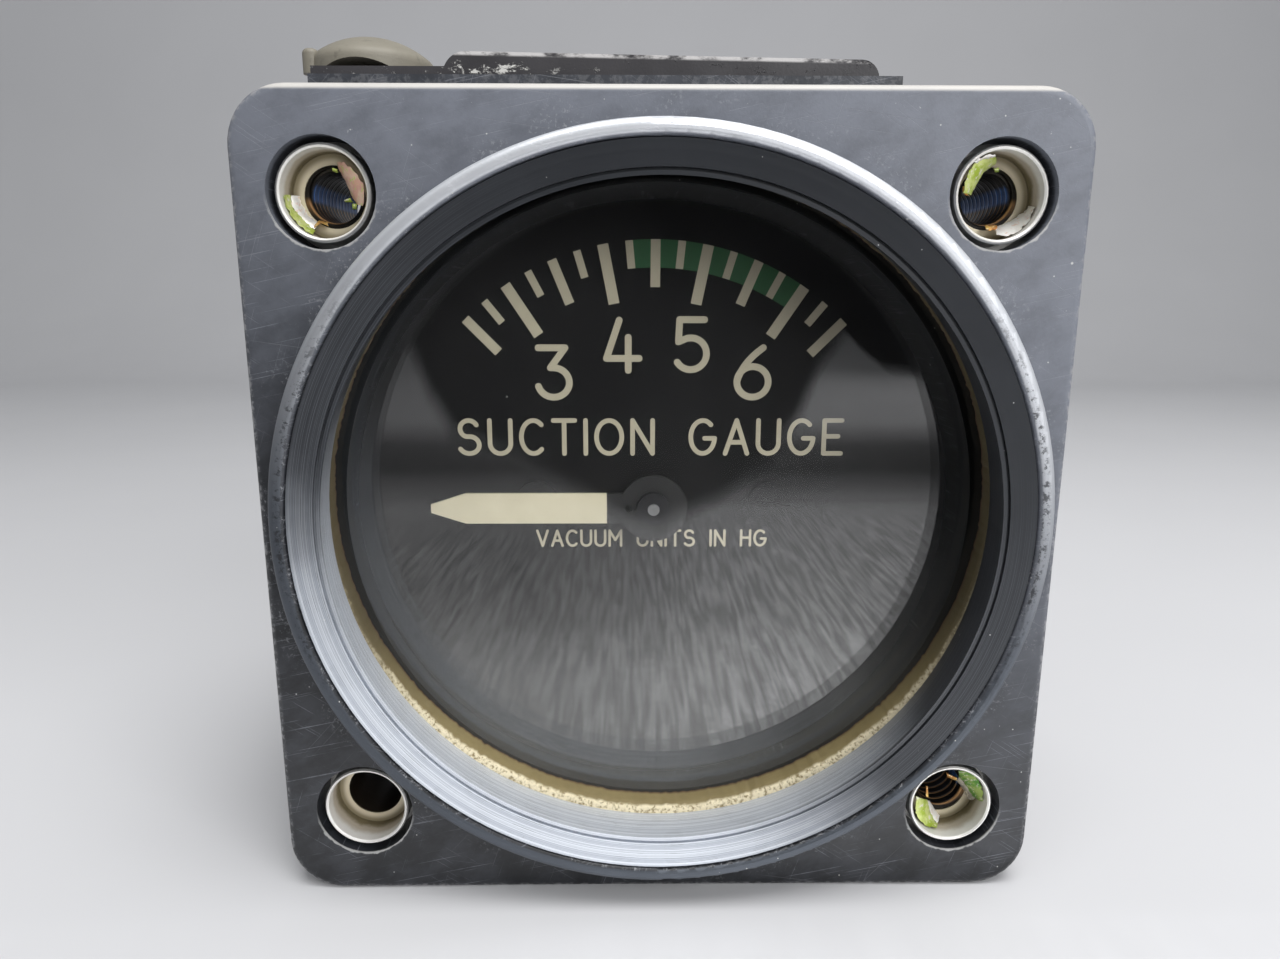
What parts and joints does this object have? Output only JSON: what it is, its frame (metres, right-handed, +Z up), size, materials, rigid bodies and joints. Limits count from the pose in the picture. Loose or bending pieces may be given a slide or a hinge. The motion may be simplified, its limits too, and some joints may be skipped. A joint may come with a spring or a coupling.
{
  "type": "suction gauge",
  "caption": "Round-dial aircraft suction gauge on a square flange, with a capsule movement that turns a pointer clockwise as suction rises, mounting inserts in its corners and a rear port.",
  "frame": {"origin": "on the bezel's axis, in the plane of the mounting flange's front face", "axes": "-Y out of the dial towards the reader, +X to the reader's right, +Z up"},
  "size_m": [0.0598, 0.0604, 0.0662],
  "materials": {
    "case_black": "satin black paint, scratched",
    "ring_black": "satin black over fine turning marks",
    "gasket_tan": "aged",
    "glass": "clear",
    "dial_black": "matte black with cream marks",
    "pointer_cream": "matte cream and black",
    "blued_black": "blackened",
    "brass": "satin",
    "steel": "fine brushed",
    "bronze": "satin",
    "insert_silver": "bright",
    "chromate": "yellow green chromate",
    "rubber_grey": "dusty",
    "rubber_black": "plain",
    "plate_black": "satin"
  },
  "bodies": {
    "housing": {"case": "case_black", "retaining_ring": "ring_black", "glass_gasket": "gasket_tan", "glass": "glass", "spacer_ring": "ring_black", "dial": "dial_black", "dial_screws": "blued_black", "front_plate": "brass", "rear_plate": "brass", "pillars": "brass", "plate_screws": "steel", "case_posts": "brass", "post_nuts": "brass", "seal_washers": "rubber_black", "case_screws": "steel", "stop_pins": "steel", "hairspring": "bronze", "hairspring_stud": "brass", "rock_bracket": "brass", "bracket_screws": "steel", "capsule": "bronze", "port_fitting": "brass", "port_seal": "rubber_black", "port_nut": "brass", "vent_plug": "brass", "vent_screen": "bronze", "insert_sleeves": "insert_silver", "insert_nuts": "steel", "spring_clips": "chromate", "lamp_plate": "plate_black", "rubber_cap": "rubber_grey", "light_block": "plate_black", "block_screws": "blued_black"},
    "sector": {"sector_gear": "brass", "sector_arbor": "steel", "sector_tail": "steel"},
    "pointer": {"pinion_arbor": "steel", "pointer": "pointer_cream", "pointer_collet": "blued_black", "hairspring_collet": "brass"},
    "rocker": {"rock_shaft": "steel", "link_arm": "brass", "arm_pin": "steel", "push_arm": "steel"},
    "stem": {"capsule_stem": "brass", "stem_pin": "steel", "link": "brass"}
  },
  "joints": [
    {"name": "sector_turn", "type": "hinge", "parent": "housing", "child": "sector", "pos_m": [0.01401, 0.0134, 0.00825], "axis": [0, 1, 0], "range_deg": [-23.3, 0], "stiffness_Nm_per_rad": 0.0005},
    {"name": "pointer_turn", "type": "hinge", "parent": "housing", "child": "pointer", "pos_m": [-0.00045, 0.007, -0.0003], "axis": [0, 1, 0], "range_deg": [0, 140], "deforming": ["hairspring"]},
    {"name": "rock_turn", "type": "hinge", "parent": "housing", "child": "rocker", "pos_m": [-0.00045, 0.0308, 0.0097], "axis": [1, 0, 0], "range_deg": [0, 12]},
    {"name": "stem_slide", "type": "slide", "parent": "housing", "child": "stem", "axis": [0, 1, 0], "range_m": [0, 0.0021], "deforming": ["capsule"]}
  ],
  "couplings": [
    {"joint": "pointer_turn", "follows": "sector_turn", "ratio": -6},
    {"joint": "rock_turn", "follows": "sector_turn", "ratio": -0.515},
    {"joint": "stem_slide", "follows": "sector_turn", "m_per_rad": -0.00514}
  ]
}
